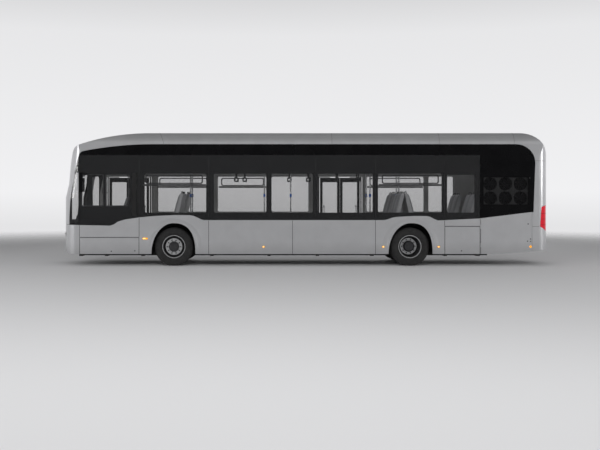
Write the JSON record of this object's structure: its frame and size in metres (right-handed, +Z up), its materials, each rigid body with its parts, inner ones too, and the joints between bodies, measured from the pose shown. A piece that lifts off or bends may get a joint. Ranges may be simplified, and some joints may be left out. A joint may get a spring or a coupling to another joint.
{
  "type": "low-floor electric city bus",
  "caption": "Twelve-metre low-floor city bus with tall glazing, steered front wheels, twin rear wheels, inward-gliding double doors and hinged service panels.",
  "frame": {"origin": "on the ground under the middle of the bus", "axes": "+X towards the rear, +Y to the right-hand door side, +Z up"},
  "size_m": [12.135, 3.11, 3.33],
  "materials": {
    "paint": "metallic silver",
    "glass": "tinted",
    "black": "gloss",
    "frame": "matt",
    "chassis": "matt",
    "floor": "matt",
    "roof": "satin",
    "lining": "matt",
    "lamp": "clear lens",
    "red": "lens",
    "amber": "lens",
    "trim": "matt",
    "shell": "matt",
    "cloth": "woven",
    "rail": "brushed",
    "steel": "satin",
    "rim": "satin",
    "tyre": "matt"
  },
  "bodies": {
    "body": {"underframe": "chassis", "floor": "floor", "wheelhouses": "chassis", "front_frame": "frame", "left_frame": "frame", "right_frame": "frame", "rear_frame": "frame", "front_panel": "paint", "skirt_panels": "paint", "rear_panels": "paint", "windscreen": "glass", "side_glass": "glass", "rear_window": "glass", "cantrails": "black", "roof_fairings": "paint", "roof_caps": "paint", "roof_deck": "chassis", "roof_units": "roof", "ceiling": "lining", "headlamps": "lamp", "tail_lamps": "red", "marker_lamps": "amber", "cooling_fans": "black", "battery_blocks": "chassis", "dashboard": "trim", "steering_wheel": "trim", "driver_seat": "cloth", "partitions": "trim", "seat_shells": "shell", "seat_pads": "cloth", "handrails": "rail", "mirrors": "black", "front_axle": "chassis", "rear_axle": "chassis"},
    "driver_flap": {"driver_flap": "paint"},
    "rear_flap": {"rear_flap": "paint"},
    "service_door": {"service_door": "paint", "service_door_top": "black"},
    "tail_hatch": {"tail_hatch": "paint"},
    "knuckle_left": {"knuckle_left": "steel"},
    "knuckle_right": {"knuckle_right": "steel"},
    "tie_rod": {"tie_rod": "steel"},
    "front_wheel_left": {"front_tyre_left": "tyre", "front_rim_left": "rim"},
    "front_wheel_right": {"front_tyre_right": "tyre", "front_rim_right": "rim"},
    "rear_wheels_left": {"rear_tyres_left": "tyre", "rear_rims_left": "rim"},
    "rear_wheels_right": {"rear_tyres_right": "tyre", "rear_rims_right": "rim"},
    "post_1": {"post_1": "steel"},
    "leaf_1": {"leaf_1": "black"},
    "post_2": {"post_2": "steel"},
    "leaf_2": {"leaf_2": "black"},
    "post_3": {"post_3": "steel"},
    "leaf_3": {"leaf_3": "black"},
    "post_4": {"post_4": "steel"},
    "leaf_4": {"leaf_4": "black"}
  },
  "joints": [
    {"name": "steer_left", "type": "hinge", "parent": "body", "child": "knuckle_left", "pos_m": [-3.2625, -0.88, 0.478], "axis": [0, 0, 1], "range_deg": [-45, 45]},
    {"name": "steer_right", "type": "hinge", "parent": "body", "child": "knuckle_right", "pos_m": [-3.2625, 0.88, 0.478], "axis": [0, 0, 1], "range_deg": [-45, 45]},
    {"name": "tie_rod_pivot", "type": "hinge", "parent": "knuckle_left", "child": "tie_rod", "pos_m": [-3.0525, -0.88, 0.235], "axis": [0, 0, 1], "range_deg": [-45, 45]},
    {"name": "front_wheel_left_spin", "type": "hinge", "parent": "knuckle_left", "child": "front_wheel_left", "pos_m": [-3.2625, -1.0525, 0.478], "axis": [0, 1, 0], "continuous": true},
    {"name": "front_wheel_right_spin", "type": "hinge", "parent": "knuckle_right", "child": "front_wheel_right", "pos_m": [-3.2625, 1.0525, 0.478], "axis": [0, 1, 0], "continuous": true},
    {"name": "rear_wheels_left_spin", "type": "hinge", "parent": "body", "child": "rear_wheels_left", "pos_m": [2.6375, -0.902, 0.478], "axis": [0, 1, 0], "continuous": true},
    {"name": "rear_wheels_right_spin", "type": "hinge", "parent": "body", "child": "rear_wheels_right", "pos_m": [2.6375, 0.902, 0.478], "axis": [0, 1, 0], "continuous": true},
    {"name": "post_1_turn", "type": "hinge", "parent": "body", "child": "post_1", "pos_m": [-5.3855, 1.242, 1.32], "axis": [0, 0, -1], "range_deg": [0, 80]},
    {"name": "leaf_1_turn", "type": "hinge", "parent": "post_1", "child": "leaf_1", "pos_m": [-5.09025, 1.242, 1.32], "axis": [0, 0, -1], "range_deg": [-160, 0]},
    {"name": "post_2_turn", "type": "hinge", "parent": "body", "child": "post_2", "pos_m": [-4.2045, 1.242, 1.32], "axis": [0, 0, 1], "range_deg": [0, 80]},
    {"name": "leaf_2_turn", "type": "hinge", "parent": "post_2", "child": "leaf_2", "pos_m": [-4.49975, 1.242, 1.32], "axis": [0, 0, 1], "range_deg": [-160, 0]},
    {"name": "post_3_turn", "type": "hinge", "parent": "body", "child": "post_3", "pos_m": [0.4955, 1.242, 1.32], "axis": [0, 0, -1], "range_deg": [0, 80]},
    {"name": "leaf_3_turn", "type": "hinge", "parent": "post_3", "child": "leaf_3", "pos_m": [0.79025, 1.242, 1.32], "axis": [0, 0, -1], "range_deg": [-160, 0]},
    {"name": "post_4_turn", "type": "hinge", "parent": "body", "child": "post_4", "pos_m": [1.6745, 1.242, 1.32], "axis": [0, 0, 1], "range_deg": [0, 80]},
    {"name": "leaf_4_turn", "type": "hinge", "parent": "post_4", "child": "leaf_4", "pos_m": [1.37975, 1.242, 1.32], "axis": [0, 0, 1], "range_deg": [-160, 0]},
    {"name": "driver_flap_hinge", "type": "hinge", "parent": "body", "child": "driver_flap", "pos_m": [-4.857, -1.258, 0.7125], "axis": [-1, 0, 0], "range_deg": [0, 85]},
    {"name": "rear_flap_hinge", "type": "hinge", "parent": "body", "child": "rear_flap", "pos_m": [3.926, -1.258, 0.9865], "axis": [-1, 0, 0], "range_deg": [0, 85]},
    {"name": "service_door_hinge", "type": "hinge", "parent": "body", "child": "service_door", "pos_m": [4.377, -1.258, 1.5], "axis": [0, 0, -1], "range_deg": [0, 85]},
    {"name": "tail_hatch_hinge", "type": "hinge", "parent": "body", "child": "tail_hatch", "pos_m": [6.0605, 0, 1.893], "axis": [0, -1, 0], "range_deg": [0, 85]}
  ],
  "couplings": [
    {"joint": "steer_right", "follows": "steer_left", "ratio": 1},
    {"joint": "tie_rod_pivot", "follows": "steer_left", "ratio": -1},
    {"joint": "leaf_1_turn", "follows": "post_1_turn", "ratio": -2},
    {"joint": "post_2_turn", "follows": "post_1_turn", "ratio": 1},
    {"joint": "leaf_2_turn", "follows": "post_1_turn", "ratio": -2},
    {"joint": "leaf_3_turn", "follows": "post_3_turn", "ratio": -2},
    {"joint": "post_4_turn", "follows": "post_3_turn", "ratio": 1},
    {"joint": "leaf_4_turn", "follows": "post_3_turn", "ratio": -2}
  ]
}
